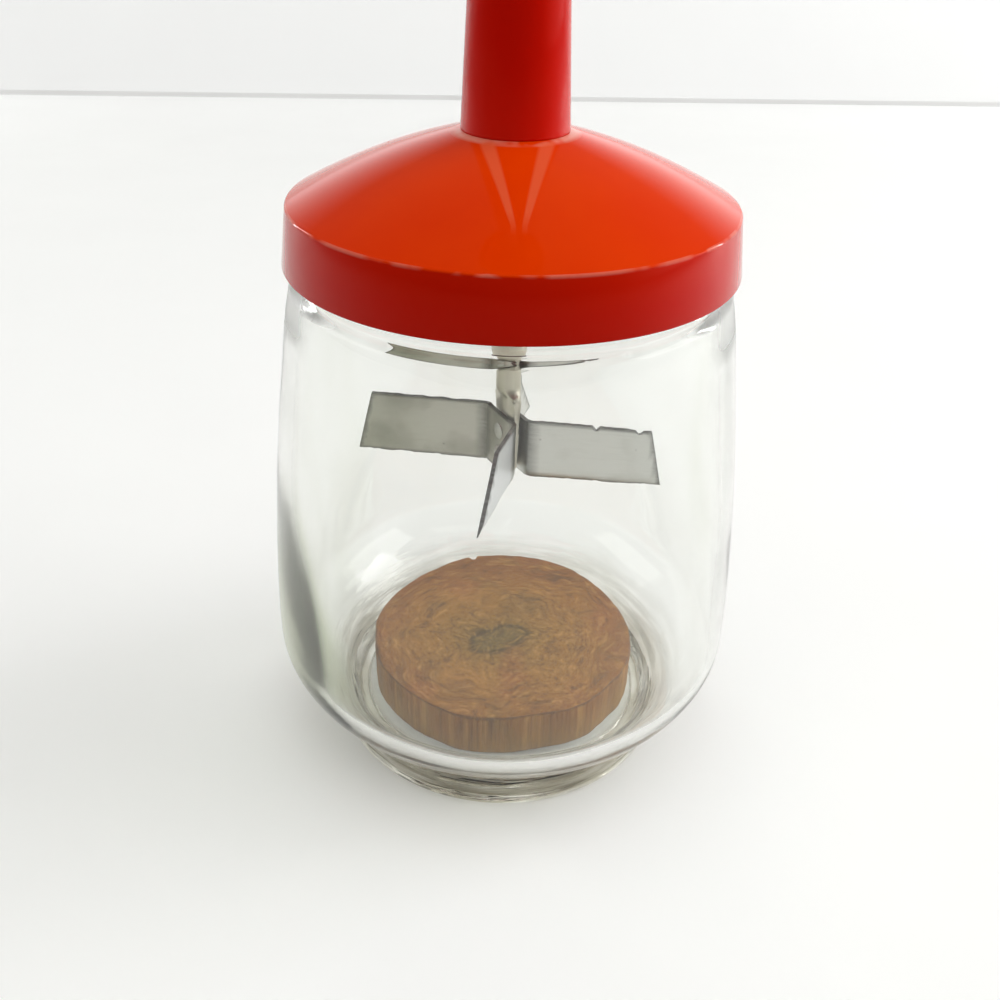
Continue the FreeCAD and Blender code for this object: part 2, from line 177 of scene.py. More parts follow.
def make_piece(name, bm, body, node, slot, finish=None):
    for face in bm.faces:
        face.smooth = True
    for edge in bm.edges:
        if len(edge.link_faces) == 2 and edge.calc_face_angle() > SHARP_EDGE:
            edge.smooth = False
    piece = as_object(name, bm)
    piece.data.materials.append(finishes[finish or slot])
    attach(piece, body)
    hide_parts(node)
    print(name, "has", len(piece.data.polygons), "faces and rides on", body)
    return piece


def unevenness(place, size, depth, shift=0.0):
    """A soft hill-and-dale value at a place, for surfaces smoothed by hands or moulded."""
    return noise.noise(place / (size * MM) + Vector((shift, 0, 0))) * depth * MM


print("edges that turn by more than", round(math.degrees(SHARP_EDGE)), "degrees stay crisp")

# %% [markdown]
# ## Helpers for finishes
# Every finish is procedural: it is worked out from where a point lies on the piece, so it
# needs no picture and no unwrapping. `put` adds one node and links or sets its inputs. A
# socket knows its tree, as `id_data`, so the helpers after it need only be given sockets,
# and each finish below reads as a short recipe.

# %% Node helpers
def shade(red, green, blue):
    """A colour as a screen shows it, made into the light values that nodes use."""
    return (*Color((red / 255, green / 255, blue / 255)).from_srgb_to_scene_linear(), 1)


def put(tree, kind, inputs=None, **settings):
    made = tree.nodes.new("ShaderNode" + kind)
    for name, value in settings.items():
        setattr(made, name, value)
    for name, value in (inputs or {}).items():
        if isinstance(value, bpy.types.NodeSocket):
            tree.links.new(value, made.inputs[name])
        else:
            made.inputs[name].default_value = value
    return made


def new_finish(slot, **constants):
    """A material with its Principled shader, whose constant values are set on it."""
    material = bpy.data.materials.new(slot)
    material.use_nodes = True
    tree = material.node_tree
    shader = tree.nodes["Principled BSDF"]
    for name, value in constants.items():
        shader.inputs[name.replace("_", " ")].default_value = value
    finishes[slot] = material
    place = put(tree, "TexCoord").outputs["Object"]
    return tree, shader, place


def scaled(place, scale=(1, 1, 1), turn=(0, 0, 0), shift=(0, 0, 0)):
    return put(place.id_data, "Mapping", {
        "Vector": place, "Scale": scale, "Rotation": turn, "Location": shift,
    }).outputs["Vector"]


def grain(place, size, detail=3.0, rough=0.5, warp=0.0):
    """Soft noise whose patches are about so many millimetres wide."""
    return put(place.id_data, "TexNoise", {
        "Vector": place, "Scale": 1 / (size * MM), "Detail": detail, "Roughness": rough,
        "Distortion": warp,
    }).outputs["Fac"]


def ramp(value, stops):
    """Turns a value into a colour through stops, each a place from 0 to 1 and a colour."""
    made = put(value.id_data, "ValToRGB", {"Fac": value})
    marks = made.color_ramp.elements
    while len(marks) < len(stops):
        marks.new(0.5)
    for mark, (where, colour) in zip(marks, stops):
        mark.position = where
        mark.color = colour
    return made.outputs["Color"]


print("node helpers are ready")

# %% [markdown]
# A mask is a value from 0 to 1 that says where on a piece a colour or a roughness lies.
# Masks come from heights, distances and noise, moved from one range to another, and are
# multiplied where more than one must hold.

# %% Masks and mixes
def spread(value, low, high, start=0.0, end=1.0):
    """Moves a value from one range to another and stops at its ends."""
    return put(value.id_data, "MapRange", {
        "Value": value, "From Min": start, "From Max": end, "To Min": low, "To Max": high,
    }).outputs["Result"]


def rise(value, start, end):
    """A mask that grows from 0 to 1 between two marks."""
    return spread(value, 0.0, 1.0, start, end)


def fall(value, start, end):
    """A mask that drops from 1 to 0 between two marks."""
    return spread(value, 1.0, 0.0, start, end)


def maths(kind, first, second=0.0):
    made = put(first.id_data, "Math", {0: first, 1: second}, operation=kind)
    return made.outputs["Value"]


def times(value, *others):
    """The product of values or masks."""
    for other in others:
        value = maths("MULTIPLY", value, other)
    return value


def part_of(vector, axis):
    """The X, Y or Z of a place or a direction."""
    return put(vector.id_data, "SeparateXYZ", {"Vector": vector}).outputs[axis]


def distance(first, second=(0, 0, 0)):
    made = put(first.id_data, "VectorMath", {0: first, 1: second}, operation="DISTANCE")
    return made.outputs["Value"]


def from_axis(place):
    """How far a place lies from the Z axis."""
    return distance(scaled(place, (1, 1, 0)))


def how_upright(tree):
    """One where the surface faces up and nought where it stands upright."""
    return part_of(put(tree, "NewGeometry").outputs["Normal"], "Z")


def mixed(share, under, over):
    """One colour laid over another by a share from 0 to 1."""
    made = put(share.id_data, "Mix", {0: share, 6: under, 7: over}, data_type="RGBA")
    return made.outputs[2]


def feed(value, shader, name):
    shader.id_data.links.new(value, shader.inputs[name])


def bump(shader, height, depth, under=None):
    """Lets a height pattern, so many millimetres deep, tilt the surface's shading."""
    inputs = {"Height": height, "Distance": depth * MM, "Strength": 1.0}
    if under:
        inputs["Normal"] = under
    tilted = put(shader.id_data, "Bump", inputs).outputs["Normal"]
    feed(tilted, shader, "Normal")
    return tilted


print("masks and mixes are ready")

# %% [markdown]
# ### Clear glass
# Pressed jar glass is colourless when seen through its thin wall and slightly grey-green
# where it is thick. The colour therefore belongs in the depth of the glass, and a Volume
# Absorption node puts it there. The foot's surface also gets streaky grey-green and dark
# bands, partly that tint and partly painted shade for the dark reflections in the foot. The
# surface ripples very gently, because the mould's skin freezes before the glass is quite
# still. It is a little dull at both sides of the neck, where the mould's halves part, and
# in one lump in its wall, where the gob of glass first touched the cold mould. The lump is
# also tinted grey-green, as painted shade for the dark streak it makes in the left wall.
# Three masks say where those places are.

# %% Places in the glass
def foot_mask(place, height):
    """One in the thick foot and heel, nought in the floor and the wall."""
    low = fall(height, 7 * MM, 16 * MM)
    return times(low, rise(from_axis(place), 31 * MM, 34 * MM))


def lump_mask(place):
    """One in the lump in the wall. Heights are shrunk, so the mask is taller than wide."""
    middle = (-41.7 * MM, -16.9 * MM, 19 * MM)
    off = distance(scaled(place, (1, 1, 0.6)), middle)
    return fall(off, 12 * MM, 24 * MM)


def neck_mask(place, height):
    """One at both sides of the neck."""
    across = maths("ABSOLUTE", part_of(place, "X"))
    seam = rise(across, 33 * MM, 38 * MM)
    return times(seam, rise(height, 94 * MM, 100 * MM))


print("three masks are ready")

# %% [markdown]
# Lamps would leave a dark patch under clear glass, so rays that look for a lamp pass
# through a Transparent shader instead of the glass itself.

# %% Clear glass
LUMP_ROUGHNESS, NECK_ROUGHNESS = 0.19, 0.34


def let_light_through(shader):
    tree = shader.id_data
    path = put(tree, "LightPath").outputs["Is Shadow Ray"]
    clear = put(tree, "BsdfTransparent", {"Color": shade(250, 251, 249)})
    both = put(tree, "MixShader", {
        0: path, 1: shader.outputs["BSDF"], 2: clear.outputs["BSDF"]})
    depth = put(tree, "VolumeAbsorption", {"Color": shade(212, 208, 194), "Density": 22.0})
    output = tree.nodes["Material Output"]
    tree.links.new(both.outputs["Shader"], output.inputs["Surface"])
    tree.links.new(depth.outputs["Volume"], output.inputs["Volume"])


def make_clear_glass():
    tree, shader, place = new_finish("clear_glass", Transmission_Weight=1.0, IOR=1.5)
    height = part_of(place, "Z")
    thick, lump = foot_mask(place, height), lump_mask(place)
    smears = grain(scaled(place, (1, 1, 0.3)), 22, 3.0, 0.6)
    film = ramp(smears, [(0.55, shade(254, 255, 254)), (0.8, shade(246, 248, 243))])
    waves = grain(scaled(place, (0.08, 0.08, 1)), 1.5, 2.0)
    # Streaky bands in the foot, pale to dark: partly the tint of thick glass, partly painted
    # shade for its dark reflections.
    rings = ramp(waves, [
        (0.35, shade(140, 132, 112)), (0.5, shade(188, 182, 164)),
        (0.62, shade(242, 240, 234))])
    film = mixed(thick, film, rings)
    # The lump is tinted grey-green: painted shade for the dark streak it makes in the left
    # wall.
    feed(mixed(lump, film, shade(221, 227, 208)), shader, "Base Color")
    neck = neck_mask(place, height)
    dull = maths("MAXIMUM", times(lump, LUMP_ROUGHNESS), times(neck, NECK_ROUGHNESS))
    feed(dull, shader, "Roughness")
    ripples = grain(scaled(place, (1, 1, 0.45)), 16, 1.0)
    rolled = bump(shader, ripples, 0.12)
    bump(shader, times(waves, thick), 1.0, rolled)
    let_light_through(shader)
    print("clear glass has", len(tree.nodes), "nodes")


make_clear_glass()

# %% [markdown]
# ### End-grain wood
# The chopping disc is a slice across a branch. Its top shows growth rings round a dark
# heart, and its side shows the fibres as upright streaks. Rings could be a Wave texture,
# but real rings are oval, crowded on one side and broken by rays, so this recipe measures
# the distance from the heart, bends it with noise, and colours it through a ramp.

# %% The heart and what runs round it
HEART_SHIFT = (1 * MM, 4.5 * MM, 0)
PATCHES = (((9.5, 8.5), 11, (92, 80, 46)), ((19.7, -21.4), 9, (164, 78, 42)),
           ((-24, 4), 12, (146, 82, 42)), ((-10, 14), 11, (188, 136, 66)),
           ((-8, -17), 12, (190, 134, 62)))


def bent_place(place):
    """Places counted from the heart, squeezed to an oval and bent by noise."""
    tree = place.id_data
    heart = scaled(place, (1, 1.1, 0), shift=HEART_SHIFT)
    drift = put(tree, "TexNoise", {"Vector": heart, "Scale": 60, "Detail": 3})
    centred = put(tree, "VectorMath", {0: drift.outputs["Color"], 1: (0.5, 0.5, 0)},
                  operation="SUBTRACT").outputs["Vector"]
    bent = put(tree, "VectorMath", {0: centred, "Scale": 0.016}, operation="SCALE")
    return put(tree, "VectorMath", {0: heart, 1: bent.outputs["Vector"]}).outputs["Vector"]


def strokes_round(flat, reach, across, along, detail, rough):
    """Noise drawn out round the heart: fine from ring to ring and long along a ring."""
    tree = flat.id_data
    way = put(tree, "VectorMath", {0: flat}, operation="NORMALIZE").outputs["Vector"]
    curl = put(tree, "CombineXYZ", {
        "X": times(reach, across), "Y": times(part_of(way, "X"), along),
        "Z": times(part_of(way, "Y"), along)})
    return put(tree, "TexNoise", {
        "Vector": curl.outputs["Vector"], "Scale": 1.0, "Detail": detail,
        "Roughness": rough}).outputs["Fac"]


def coats(base, recipe):
    """Colours laid on in turn, each where its value runs from one mark to another."""
    for value, low, high, start, end, tone in recipe:
        base = mixed(spread(value, low, high, start, end), base, shade(*tone))
    return base


print("the wood has", len(PATCHES), "stained patches")

# %% [markdown]
# The top gets its base colour by the distance from the heart. Thin coats of darker and
# paler wood are then laid on, where the clouds, strokes and flecks of noise are strongest.

# %% The disc's top
def end_grain(place, cloud):
    """The rings, rays and patches on the disc's top, and the strokes for its bump."""
    centred = bent_place(place)
    flat = scaled(centred, (1, 1, 0))
    reach = distance(flat)
    strokes = strokes_round(flat, reach, 360.0, 2.6, 5, 0.6)
    flecks = strokes_round(flat, reach, 800.0, 7.5, 3, 0.7)
    red = grain(scaled(place, shift=(20 * MM, 0, 0)), 13, 2.0)
    base = ramp(rise(reach, 0.0, 31 * MM), [
        (0.0, shade(112, 95, 46)), (0.14, shade(120, 99, 46)), (0.18, shade(88, 70, 34)),
        (0.23, shade(143, 108, 44)), (0.5, shade(161, 114, 43)),
        (0.8, shade(157, 107, 41)), (1.0, shade(143, 91, 37)),
    ])
    base = coats(base, (
        (cloud, 0.0, 0.6, 0.5, 0.7, (140, 106, 54)),
        (red, 0.0, 0.55, 0.52, 0.68, (161, 97, 45)),
        (strokes, 0.0, 0.58, 0.53, 0.68, (84, 55, 24)),
        (strokes, 0.5, 0.0, 0.3, 0.42, (161, 120, 55)),
        (flecks, 0.0, 0.46, 0.53, 0.68, (212, 163, 90)),
        (flecks, 0.52, 0.0, 0.32, 0.46, (84, 56, 28))))
    for (x, y), size, tone in PATCHES:
        middle = (x * MM, y * MM + HEART_SHIFT[1], 0)
        near = spread(distance(centred, middle), 0.95, 0.0, size * 0.2 * MM, size * MM)
        share = times(near, spread(cloud, 0.4, 1.0, 0.35, 0.6))
        base = mixed(share, base, shade(*tone))
    return base, strokes


print("the top's recipe is ready")

# %% [markdown]
# The side shows the fibres lengthways, as upright streaks. It is paler low down, and its
# upper edge is dark with wear.

# %% The disc's side, and the whole finish
def side_grain(base, place, fibres):
    """The pale lower side, the rim dark with wear and the upright fibres."""
    upright = maths("ABSOLUTE", how_upright(place.id_data))
    on_side = spread(upright, 0.6, 0.3, 0.3, 0.8)
    height = part_of(place, "Z")
    low = times(on_side, spread(height, 0.85, 0.0, 9 * MM, 16.5 * MM))
    base = mixed(low, base, shade(180, 143, 80))
    darkened = times(rise(upright, 0.1, 0.45), fall(upright, 0.75, 0.97), 0.65)
    base = mixed(darkened, base, shade(95, 64, 37))
    dark = times(spread(fibres, 0.0, 0.55, 0.5, 0.66), on_side)
    base = mixed(dark, base, shade(89, 58, 23))
    pale = times(spread(fibres, 0.8, 0.0, 0.34, 0.46), on_side)
    return mixed(pale, base, shade(163, 126, 60))


def make_disc_wood():
    tree, shader, place = new_finish("disc_wood", IOR=1.45, Specular_IOR_Level=0.3)
    cloud = grain(scaled(place, (1, 1, 0.5)), 9, 4.0, 0.6, 0.8)
    fibres = grain(scaled(place, (1, 1, 0.05)), 0.6, 4.0, 0.65)
    pores = put(tree, "TexVoronoi", {
        "Vector": scaled(place, (1, 1, 0.05)), "Scale": 900.0}).outputs["Distance"]
    base, strokes = end_grain(place, cloud)
    base = side_grain(base, place, fibres)
    base = coats(base, ((pores, 0.4, 0.0, 0.06, 0.2, (79, 51, 21)),))
    feed(base, shader, "Base Color")
    feed(spread(cloud, 0.5, 0.72), shader, "Roughness")
    height = maths("ADD", fibres, times(pores, 0.5))
    bump(shader, maths("SUBTRACT", height, strokes), 0.12)
    print("disc wood has", len(tree.nodes), "nodes")


make_disc_wood()

# %% [markdown]
# ### Gloss plastic
# The lid, its tower and the knob are moulded in one orange-red plastic with a smooth skin.
# The finish has a low roughness with faint clouding, fine scratches that catch the light
# and a few pale specks of dust. Upright faces get a deeper red as painted shade, the rim
# and the tower's foot get broken rings of painted highlight, and two pale lines in front of
# the tower are its painted reflection. The skin ripples slightly, as plastic does where it
# shrinks in the mould.

# %% Painted highlights and reflections on the plastic
# Rings of painted highlight at the lid's rim and the tower's foot: low and high height, the
# radius they lie outside, and their strength.
PAINTED_HIGHLIGHT_RINGS = ((118.7, 119.6, 41.3, 0.22), (131.1, 131.7, 9.9, 0.6))
# Two lines of painted reflection of the tower, each an X offset where it leaves the tower's
# foot and where it ends.
PAINTED_REFLECTION_LINES = ((-4.6, 0.1), (5.4, 1.9))


def paint_highlight_rings(body, place, height, reach):
    """Broken pale rings of painted highlight, each between two heights and outside a radius."""
    highlight = grain(scaled(place, shift=(30 * MM, 0, 0)), 7, 2.0)
    broken = rise(highlight, 0.42, 0.55)
    for low, high, radius, share in PAINTED_HIGHLIGHT_RINGS:
        ring = times(
            spread(height, 0.0, share, low * MM, (low + 0.3) * MM),
            fall(height, high * MM, (high + 0.1) * MM),
            rise(reach, (radius - 0.1) * MM, radius * MM), broken)
        body = mixed(ring, body, shade(246, 190, 170))
    return body


def paint_tower_reflection(body, place, height, reach):
    """Pale lines from the tower's foot towards the front: a painted reflection of the tower's
    sides.
    """
    along = rise(reach, 12 * MM, 32 * MM)
    half = spread(along, 1.5 * MM, 0.5 * MM)
    shown = times(fall(part_of(place, "Y"), -8 * MM, -6 * MM),
                  fall(reach, 29 * MM, 34 * MM), fall(height, 131.4 * MM, 131.6 * MM))
    for start, end in PAINTED_REFLECTION_LINES:
        middle = spread(along, start * MM, end * MM)
        beside = maths("SUBTRACT", part_of(place, "X"), middle)
        share = maths("DIVIDE", maths("ABSOLUTE", beside), half)
        line = times(spread(share, 0.4, 0.0, 0.6, 1.1), shown)
        body = mixed(line, body, shade(240, 122, 84))
    return body


# Counts of the painted highlight rings and of the painted reflection lines.
print("the plastic has", len(PAINTED_HIGHLIGHT_RINGS), "rubbed rings and", len(PAINTED_REFLECTION_LINES), "reflection lines")


# %% Gloss plastic
def make_red_plastic():
    tree, shader, place = new_finish("red_plastic", IOR=1.46, Specular_IOR_Level=0.4,
                                     Specular_Tint=(1.0, 0.2, 0.1, 1))
    height, reach = part_of(place, "Z"), from_axis(place)
    cloud = grain(place, 26, 3.0, 0.5)
    body = ramp(cloud, [(0.3, shade(230, 52, 0)), (0.7, shade(236, 62, 0))])
    # Faces that stand upright get a deeper, darker red: painted shade for faces turned away
    # from the light above.
    upright_shade = fall(how_upright(tree), 0.1, 0.7)
    body = mixed(upright_shade, body, shade(222, 14, 0))
    body = paint_highlight_rings(body, place, height, reach)
    body = paint_tower_reflection(body, place, height, reach)
    dust = put(tree, "TexVoronoi", {"Vector": place, "Scale": 190.0})
    rare = put(tree, "SeparateColor", {"Color": dust.outputs["Color"]}).outputs["Red"]
    speck = times(fall(dust.outputs["Distance"], 0.035, 0.06), rise(rare, 0.93, 0.95))
    body = mixed(times(speck, 0.6), body, shade(238, 206, 190))
    feed(body, shader, "Base Color")
    scratches = grain(scaled(place, (1, 0.05, 1), (0.3, 0.2, 0.6)), 0.5, 2.0)
    marks = rise(scratches, 0.66, 0.74)
    rough = spread(cloud, 0.04, 0.08, 0.3, 0.7)
    for mark, share in ((marks, 0.16), (speck, 0.4)):
        rough = maths("ADD", rough, times(mark, share))
    feed(rough, shader, "Roughness")
    skin = bump(shader, grain(place, 14, 1.0), 0.05)
    bump(shader, marks, 0.004, skin)
    print("red plastic has", len(tree.nodes), "nodes")


make_red_plastic()

# %% [markdown]
# ### Worn steels
# The blades were sheared from thin strip: grey, blotched by years of food and washing,
# scratched along their length and darker at the edges, with painted shade in the bends.
# The left blade's steel is a darker, more stained copy, the darker tone painted shade, and
# its short arm at the front has a pale painted highlight. The rod and its sleeve are drawn
# steel, with fine lines along them. One recipe makes them all, from a light and a dark
# grey, a direction for the drawn lines and a roughness. It can add blotches, dark edges
# with painted shade in the bends, and a painted highlight on the front arm.

# %% Steel recipe
METAL = 0.85
ALONG_STRIP, ALONG_ROD = (0.12, 0.12, 1.6), (1, 1, 0.04)


def make_steel(slot, light, dark, stretch, rough, blotches=0.5, edges=0.0, front_highlight=0.0):
    tree, shader, place = new_finish(slot, IOR=2.2, Metallic=METAL)
    stain = grain(place, 9, 3.0, 0.5)
    base = mixed(spread(stain, 0.0, blotches, 0.45, 0.75), light, dark)
    lines = grain(scaled(place, stretch), 0.5, 3.0, 0.6)
    base = mixed(spread(lines, 0.0, 0.18, 0.5, 0.75), base, dark)
    pits = put(tree, "TexVoronoi", {"Vector": place, "Scale": 260.0}).outputs["Distance"]
    pits = fall(pits, 0.03, 0.09)
    base = mixed(times(pits, 0.45), base, shade(90, 86, 78))
    # A pale, less metallic patch on the front arm: a painted highlight.
    if front_highlight:
        front_highlight_mask = spread(part_of(place, "Y"), front_highlight, 0.0, -9 * MM, -6 * MM)
        base = mixed(front_highlight_mask, base, shade(228, 231, 236))
        feed(spread(front_highlight_mask, METAL, 0.3), shader, "Metallic")
    if edges:
        # Dark marks along the outline are wear; the dark in the bends is painted shade.
        darkened = put(tree, "Attribute", attribute_name="darkened").outputs["Fac"]
        broken = spread(lines, edges, edges + 0.25, 0.35, 0.6)
        base = mixed(times(darkened, broken), base, shade(30, 26, 20))
    feed(base, shader, "Base Color")
    haze = spread(stain, rough, rough + 0.09, 0.3, 0.7)
    feed(maths("ADD", haze, times(pits, 0.2)), shader, "Roughness")
    bump(shader, maths("SUBTRACT", lines, pits), 0.006)
    print(slot, "has", len(tree.nodes), "nodes")


make_steel("blade_steel", shade(212, 212, 207), shade(168, 166, 154), ALONG_STRIP, 0.29,
           blotches=0.6, edges=0.6)
# The left blade's copy is darker and browner as painted shade, and more heavily stained.
make_steel("stained_shaded_steel", shade(186, 184, 173), shade(138, 134, 118), ALONG_STRIP, 0.3,
           blotches=0.75, edges=0.6, front_highlight=0.85)
make_steel("rod_steel", shade(205, 200, 186), shade(150, 144, 128), ALONG_ROD, 0.29)
make_steel("spring_steel", shade(176, 178, 178), shade(120, 120, 118), (1, 1, 0.3), 0.29)
make_steel("dark_steel", shade(74, 70, 64), shade(38, 36, 34), (1, 1, 0.1), 0.42)
make_steel("brass", shade(214, 178, 98), shade(150, 112, 50), (1, 1, 0.1), 0.3)

# %% [markdown]
# ### Rubber, nylon and fibre
# The small inner pieces are soft goods of the trade: a rubber seal, a white nylon bush and
# a red-brown fibre washer. They share a matt recipe of two close colours, a fine tooth and
# a roughness that drifts a little.

# %% Matt recipe
def make_matt(slot, light, dark, size, rough, depth):
    tree, shader, place = new_finish(slot, IOR=1.48)
    cloud = grain(place, size, 4.0, 0.6)
    feed(ramp(cloud, [(0.35, dark), (0.65, light)]), shader, "Base Color")
    tooth = grain(place, size / 8, 3.0, 0.6)
    feed(spread(tooth, rough - 0.1, rough + 0.1, 0.3, 0.7), shader, "Roughness")
    bump(shader, tooth, depth)
    print(slot, "has", len(tree.nodes), "nodes")


make_matt("seal_rubber", shade(176, 172, 160), shade(150, 146, 134), 5, 0.7, 0.03)
make_matt("white_nylon", shade(236, 233, 222), shade(222, 218, 204), 4, 0.42, 0.015)
make_matt("fibre_washer", shade(140, 70, 48), shade(108, 50, 34), 2.5, 0.8, 0.05)

# %% [markdown]
# ## The jar
# The jar is pressed glass: a foot ring, a groove above it, a heel that slopes out to the
# belly, a side that draws in slowly, a quick turn-in under the lid, and a straight mouth
# with a bead that the lid slips over. Glass needs a closed wall with a real thickness,
# because light bends at both of its faces. The section is therefore drawn as one line, up
# the outside and back down the inside, and then spun.

# %% The jar's section
glass_wall = 2.8
belly_radius, belly_high = 49.97, 27
mouth_radius, mouth_high = 39.4, 116
bead_radius, bead_high = 40.4, 111
foot_inner, foot_outer = 32.8, 37.4
floor_high = 7.6


def jar_side(inset):
    return glide([(belly_radius - inset, belly_high, 90), (48.5 - inset, 55, 94.6),
                  (45.1 - inset, 85, 98.6), (42.1 - inset, 103.6, 104),
                  (mouth_radius - inset, 107, 90)], 12)


def jar_heel(inset, low):
    shift = inset / math.sqrt(2)
    return glide([low, (43.4 - shift, 14.2 + shift, 45),
                  (belly_radius - inset, belly_high, 90)], 12)


outside = [(0, 3.6), (foot_inner, 3.6, 0.8), (foot_inner, 0, 1.2), (foot_outer, 0, 1.2),
           (foot_outer, 3.75, 1.5)]
outside += jar_heel(0, (36.5, 7.5, 45)) + jar_side(0)[1:] + [(mouth_radius, 110, 0.4)]
outside += glide([(mouth_radius + 0.1, bead_high - 0.8, 20), (bead_radius, bead_high, 90),
                  (mouth_radius + 0.1, bead_high + 0.8, 160)], 5)
outside += [(mouth_radius, 112, 0.2), (mouth_radius, mouth_high, 1.0),
            (mouth_radius - glass_wall, mouth_high, 1.0)]
inside = jar_side(glass_wall)[::-1]
inside += jar_heel(glass_wall, (31.2, floor_high, 7))[::-1][1:]
inside += [(15, floor_high), (0, floor_high)]
print("the jar's section has", len(outside) + len(inside), "places")

# %% [markdown]
# A pressed wall is never quite even. Each vertex of the spun jar's wall is moved in or out
# by a few hundredths of a millimetre, more on the inside, which makes reflections wander as
# they do on real glass. A soft lump, almost 2 mm thick, also stands on the inside at the
# left. Nothing of this changes the jar's size.

# %% Spin the jar
lump_turn, lump_high, lump_depth = -158, 31, 1.85
jar = turned(outside + inside, steps=180)
for vert in jar.verts:
    flat = outward(vert)
    if flat.length > 20 * MM and vert.co.z > 9 * MM:
        inner = vert.normal.dot(flat) < 0
        depth = 0.16 if inner else 0.05
        vert.co += flat.normalized() * unevenness(vert.co, 24, depth, 3 * inner)
        if inner:
            turn = math.degrees(math.atan2(vert.co.y, vert.co.x))
            off = ((turn - lump_turn) / 16) ** 2 + ((vert.co.z / MM - lump_high) / 18) ** 2
            vert.co -= flat.normalized() * lump_depth * MM * math.exp(-off)
make_piece("jar_glass", jar, "jar", "jar", "clear_glass")

# %% [markdown]
# ## The chopping disc
# The disc is cut from a branch, so it isn't a true circle, its top is worn, and it has
# split a little at the back where the wood dried. A filled circle is extruded to its
# thickness, bevelled, and inset many times so that its top can be shaped. Its vertices
# are then moved by soft noise, and a narrow notch is pressed into its rim.

# %% The disc's blank
disc_low, disc_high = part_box("chopping_disc")
disc_radius = disc_high.x
disc = bmesh.new()
bmesh.ops.create_circle(disc, cap_ends=True, radius=disc_radius, segments=240)
bmesh.ops.translate(disc, verts=disc.verts, vec=(0, 0, disc_low.z))
grown = bmesh.ops.extrude_face_region(disc, geom=disc.faces[:])
bmesh.ops.translate(disc, verts=verts_in(grown["geom"]), vec=(0, 0, disc_high.z - disc_low.z))


def climb_of(edge):
    return abs(edge.verts[0].co.z - edge.verts[1].co.z)


rims = [edge for edge in disc.edges if climb_of(edge) < 1e-6]
bmesh.ops.bevel(disc, geom=rims, offset=1.0 * MM, offset_type="OFFSET", affect="EDGES",
                segments=BEVEL_STEPS, profile=0.5, material=-1)
for cap in [face for face in disc.faces if len(face.verts) > 4]:
    for width in (1.0, 1.5, 2.0, 2.5, 3.0, 3.0, 3.0, 3.0, 3.0, 2.5):
        bmesh.ops.inset_region(disc, faces=[cap], thickness=width * MM, use_even_offset=True)
sides = [edge for edge in disc.edges if climb_of(edge) > 5 * MM]
bmesh.ops.subdivide_edges(disc, edges=sides, cuts=5, use_grid_fill=True)
print("the blank has", len(disc.faces), "faces")

# %% Wear and a drying split
split_way = Vector((-7.4, 26.4, 0)).normalized()
for vert in disc.verts:
    flat = outward(vert)
    if flat.length < 1e-6:
        continue
    out = flat.normalized()
    edge = flat.length / disc_radius
    vert.co += out * (unevenness(out * 0.03, 14, 0.9) - 0.3 * MM) * edge ** 3
    vert.co += out * (unevenness(vert.co, 2.6, 0.22) - 0.1 * MM) * edge ** 6
    turn = math.degrees(math.atan2(flat.y, flat.x))
    vert.co += out * MM * (0.7 * math.exp(-((turn + 14) / 26) ** 2)
                           - 0.5 * math.exp(-((turn - 130) / 16) ** 2)) * edge ** 4
    beside = abs(flat.cross(split_way).z) / MM
    if flat.dot(split_way) > 0 and edge > 0.8:
        vert.co -= out * max(0, 1 - beside / 1.1) * (edge - 0.8) * 9.5 * MM
    if vert.co.z > disc_high.z - 0.2 * MM:
        vert.co.z -= (0.1 - unevenness(vert.co, 7, 0.12) / MM) * MM * edge
bmesh.ops.recalc_face_normals(disc, faces=disc.faces)
make_piece("wooden_disc", disc, "disc", "chopping_disc", "disc_wood")

# %% [markdown]
# ## The lid
# The lid is one moulded shell: a low dome on a smooth skirt, thickened at the crown for
# the tower's thread, with a ledge inside that holds the seal. The dome is a shallow arc,
# not a straight cone, so reflections widen towards the rim. The rim's edge is rounded
# only slightly, so it catches a thin line of light, and a broken line of painted
# highlight from the plastic's finish runs along it too.

# %% The lid
crown_high = 131.6
nut_bore, rod_bore = 7.05, 2.55
lid_section = [(43.0, 108.3, 0.35), (41.6, 119.2, 0.3)]
lid_section += glide([(41.0, 119.52, 151.9), (26.3, 126.4, 158.5), (10.15, crown_high, 165.2)],
                     16)
lid_section += [(nut_bore, crown_high), (nut_bore, 128.2), (12.2, 128.2, 0.5)]
lid_section += glide([(12.9, 128.0, -15), (24.0, 124.7, -19), (36.0, 119.85, -25)], 10)
lid_section += [(36.53, 119.6, 0.2), (36.53, 117.4), (40.03, 117.4, 0.3),
                (41.2, 108.3, 0.3)]
lid = turned(lid_section, closed=True, steps=216)
for vert in lid.verts:
    vert.co += outward(vert).normalized() * unevenness(vert.co, 30, 0.07)
    beside = abs(vert.co.x / MM + 4.4)
    if vert.co.y < -41 * MM and vert.co.z > 118.4 * MM and beside < 0.8:
        vert.co.z -= (0.8 - beside) * 0.3 * MM
make_piece("lid_shell", lid, "lid", "lid", "red_plastic")

# %% [markdown]
# ## The guide tower
# A tapered tube stands on the crown and hides the spring. Its lower end is a spigot that
# passes through the lid and takes a nut. It is one turned section: out at the foot, up
# the taper, over the rounded top and down the bore.

